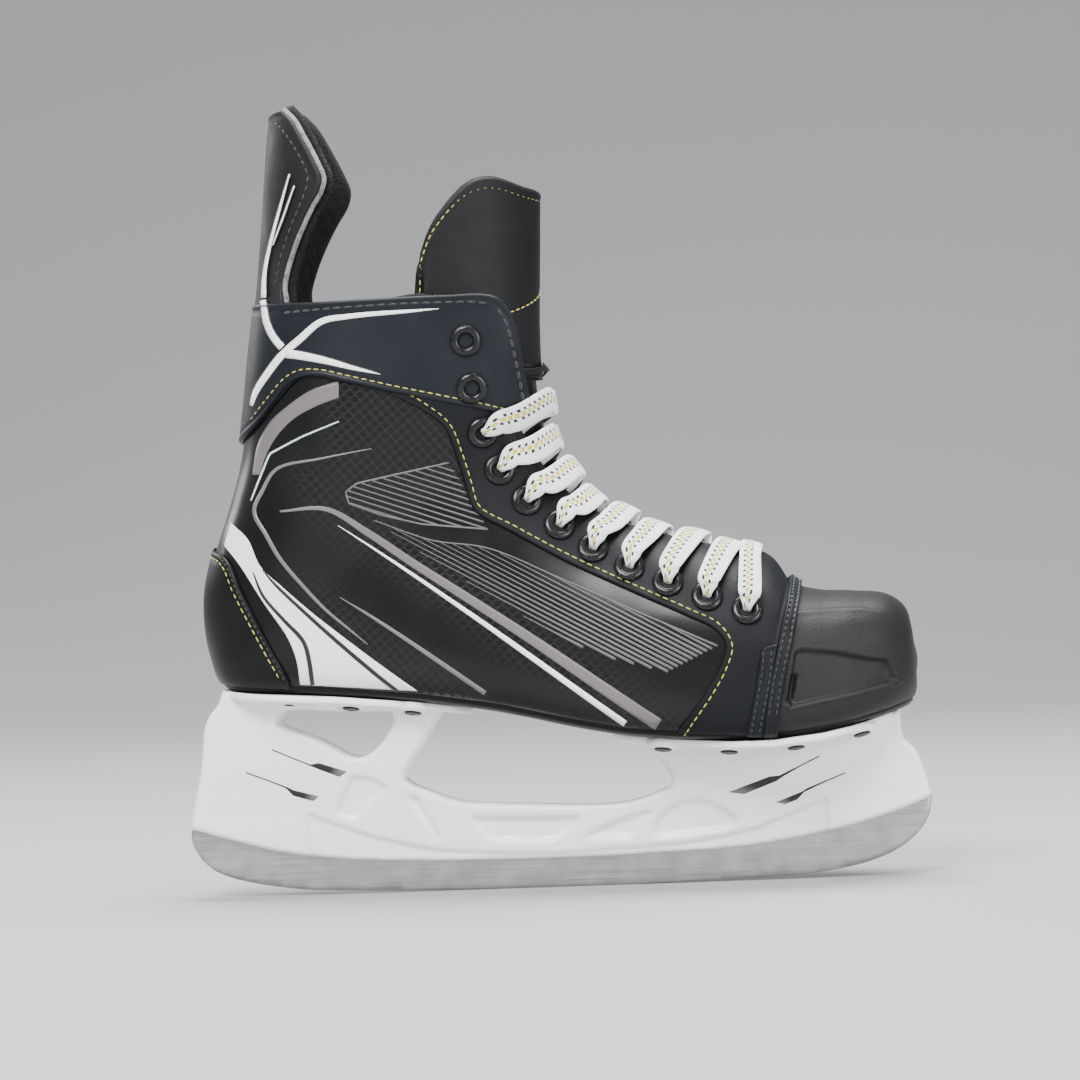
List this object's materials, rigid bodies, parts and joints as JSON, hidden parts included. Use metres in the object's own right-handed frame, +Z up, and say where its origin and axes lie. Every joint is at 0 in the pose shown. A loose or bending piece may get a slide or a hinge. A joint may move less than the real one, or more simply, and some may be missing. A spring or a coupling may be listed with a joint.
{
  "type": "ice skate",
  "caption": "Right ice hockey skate: moulded laced boot with tongue and tendon guard, riveted to a plastic holder that carries a steel runner.",
  "frame": {"origin": "on the ice, under the middle of the runner's flat contact", "axes": "+X to the toe, -Y to the outer side of the foot, +Z up"},
  "size_m": [0.2972, 0.1002, 0.3136],
  "materials": {
    "cap_plastic": "coarse moulded grain",
    "quarter_film": "glossy moulded film with printed bands",
    "facing_leather": "satin synthetic leather",
    "cuff_leather": "satin synthetic leather",
    "counter_leather": "semi-gloss synthetic leather",
    "binding": "satin synthetic leather, double stitched",
    "lining": "brushed microfibre",
    "outsole_rubber": "satin",
    "midsole_board": "fibre board",
    "footbed_foam": "knit over foam",
    "guard_leather": "matte synthetic leather",
    "guard_felt": "thick felt",
    "tongue_felt": "felt",
    "tongue_leather": "matte synthetic leather",
    "lace": "flat braid with a yellow and black tracer",
    "holder_plastic": "semi-gloss",
    "runner_steel": "ground",
    "bolt_steel": "zinc plated",
    "eyelet_metal": "black enamel",
    "rivet_metal": "dark plated"
  },
  "bodies": {
    "boot": {"toe_cap": "cap_plastic", "quarter_lateral": "quarter_film", "quarter_medial": "quarter_film", "facing_lateral": "facing_leather", "facing_medial": "facing_leather", "ankle_cuff": "cuff_leather", "heel_counter": "counter_leather", "toe_binding": "binding", "liner_lateral": "lining", "liner_medial": "lining", "outsole": "outsole_rubber", "midsole": "midsole_board", "footbed": "footbed_foam", "tongue_lower": "tongue_felt", "lace": "lace", "lace_tail_lateral": "lace", "lace_tail_medial": "lace", "holder": "holder_plastic", "runner": "runner_steel", "runner_bolt_rear": "bolt_steel", "runner_bolt_front": "bolt_steel", "eyelet_lateral_1": "eyelet_metal", "eyelet_lateral_2": "eyelet_metal", "eyelet_lateral_3": "eyelet_metal", "eyelet_lateral_4": "eyelet_metal", "eyelet_lateral_5": "eyelet_metal", "eyelet_lateral_6": "eyelet_metal", "eyelet_lateral_7": "eyelet_metal", "eyelet_lateral_8": "eyelet_metal", "eyelet_lateral_9": "eyelet_metal", "eyelet_lateral_10": "eyelet_metal", "eyelet_lateral_11": "eyelet_metal", "eyelet_medial_1": "eyelet_metal", "eyelet_medial_2": "eyelet_metal", "eyelet_medial_3": "eyelet_metal", "eyelet_medial_4": "eyelet_metal", "eyelet_medial_5": "eyelet_metal", "eyelet_medial_6": "eyelet_metal", "eyelet_medial_7": "eyelet_metal", "eyelet_medial_8": "eyelet_metal", "eyelet_medial_9": "eyelet_metal", "eyelet_medial_10": "eyelet_metal", "eyelet_medial_11": "eyelet_metal", "rivet_lateral_1": "rivet_metal", "rivet_lateral_2": "rivet_metal", "rivet_lateral_3": "rivet_metal", "rivet_lateral_4": "rivet_metal", "rivet_lateral_5": "rivet_metal", "rivet_lateral_6": "rivet_metal", "rivet_lateral_7": "rivet_metal", "rivet_medial_1": "rivet_metal", "rivet_medial_2": "rivet_metal", "rivet_medial_3": "rivet_metal", "rivet_medial_4": "rivet_metal", "rivet_medial_5": "rivet_metal", "rivet_medial_6": "rivet_metal", "rivet_medial_7": "rivet_metal"},
    "tongue_top": {"tongue_upper": "tongue_leather"},
    "guard": {"tendon_guard": "guard_leather", "tendon_guard_felt": "guard_felt"}
  },
  "joints": [
    {"name": "tongue_flex", "type": "hinge", "parent": "boot", "child": "tongue_top", "pos_m": [0.0002, 0, 0.2], "axis": [0, 1, 0], "range_deg": [0, 40], "stiffness_Nm_per_rad": 0.5},
    {"name": "tendon_guard_flex", "type": "hinge", "parent": "boot", "child": "guard", "pos_m": [-0.1131, 0, 0.2364], "axis": [0, -1, 0], "range_deg": [0, 20], "stiffness_Nm_per_rad": 2}
  ]
}
